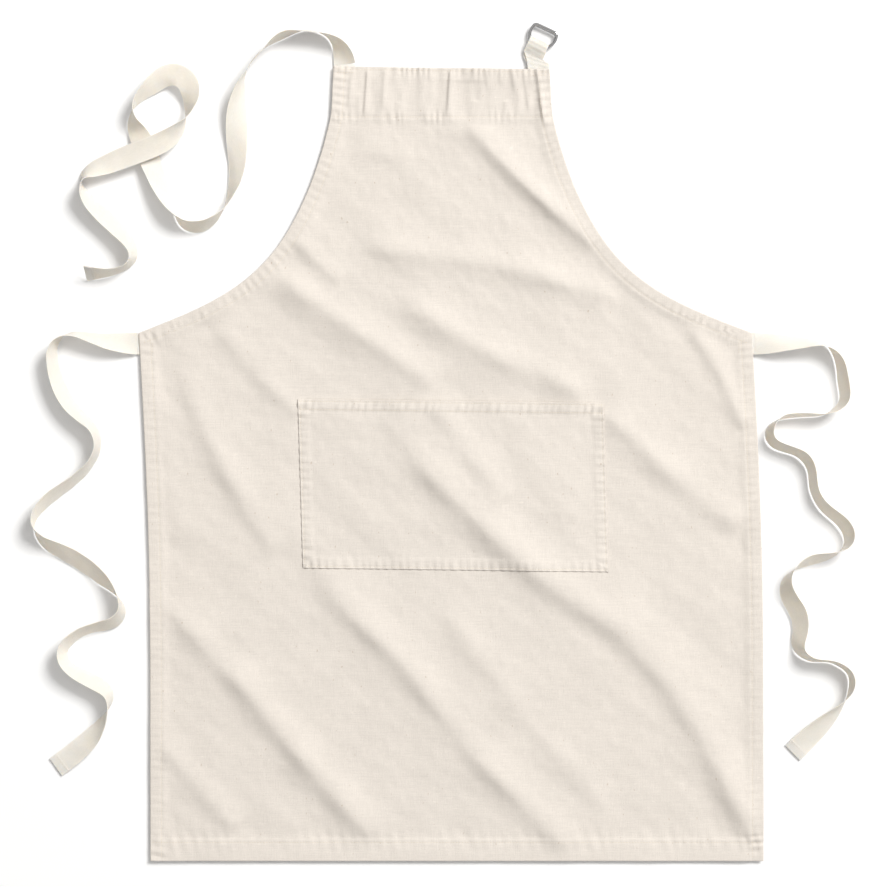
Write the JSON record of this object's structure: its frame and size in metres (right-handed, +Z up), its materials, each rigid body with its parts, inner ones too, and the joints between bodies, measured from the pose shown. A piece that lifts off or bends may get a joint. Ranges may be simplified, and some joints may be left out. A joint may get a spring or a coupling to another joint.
{
  "type": "artist smock apron",
  "caption": "Canvas bib apron lying flat, with a wide front pocket, waist ties, and a neck strap that threads through D-rings.",
  "frame": {"origin": "on the surface that the apron lies on, at the middle of the plan of its cloth and rings", "axes": "+Y from the hem to the neck, +Z up from the surface to the apron's front, +X across the front, towards the D-rings"},
  "size_m": [0.942, 0.9407, 0.0178],
  "materials": {
    "canvas": "plain-weave cotton canvas, undyed, matte",
    "tape": "cotton twill tape, ivory, matte",
    "thread": "cotton sewing thread, matte",
    "ring_metal": "nickel-plated steel wire, polished"
  },
  "bodies": {
    "root": {"apron_panel": "canvas", "bib_facing": "canvas", "left_armhole_hem": "canvas", "right_armhole_hem": "canvas", "left_side_hem": "canvas", "right_side_hem": "canvas", "bottom_hem": "canvas", "pocket_panel": "canvas", "pocket_mouth_hem": "canvas", "pocket_left_edge": "canvas", "pocket_right_edge": "canvas", "pocket_bottom_edge": "canvas", "neck_strap": "tape", "neck_strap_anchor": "tape", "neck_strap_end_hem": "tape", "left_waist_tie": "tape", "left_tie_anchor": "tape", "left_tie_end_hem": "tape", "right_waist_tie": "tape", "right_tie_anchor": "tape", "right_tie_end_hem": "tape", "ring_tab_anchor": "tape", "bib_top_stitching": "thread", "bib_facing_stitching": "thread", "left_armhole_stitching": "thread", "right_armhole_stitching": "thread", "left_side_stitching": "thread", "right_side_stitching": "thread", "bottom_hem_stitching": "thread", "pocket_edge_stitching": "thread", "pocket_mouth_stitching": "thread", "left_tie_stitching": "thread", "right_tie_stitching": "thread", "neck_strap_stitching": "thread", "ring_tab_stitching": "thread"},
    "tab": {"ring_tab": "tape", "ring_tab_loop": "tape"},
    "lower_ring": {"lower_d_ring": "ring_metal"},
    "upper_ring": {"upper_d_ring": "ring_metal"}
  },
  "joints": [
    {"name": "tab_hinge", "type": "hinge", "parent": "root", "child": "tab", "pos_m": [0.0973, 0.4171, 0.0012], "axis": [1, 0, 0], "range_deg": [0, 90]},
    {"name": "ring_swing", "type": "hinge", "parent": "tab", "child": "lower_ring", "pos_m": [0.09523, 0.44105, 0.00225], "axis": [0.9063, -0.4226, 0], "range_deg": [0, 90], "deforming": ["ring_tab_loop"]},
    {"name": "upper_ring_open", "type": "hinge", "parent": "lower_ring", "child": "upper_ring", "pos_m": [0.09628, 0.44211, 0.00535], "axis": [0.9063, -0.4226, 0], "range_deg": [0, 25]}
  ]
}
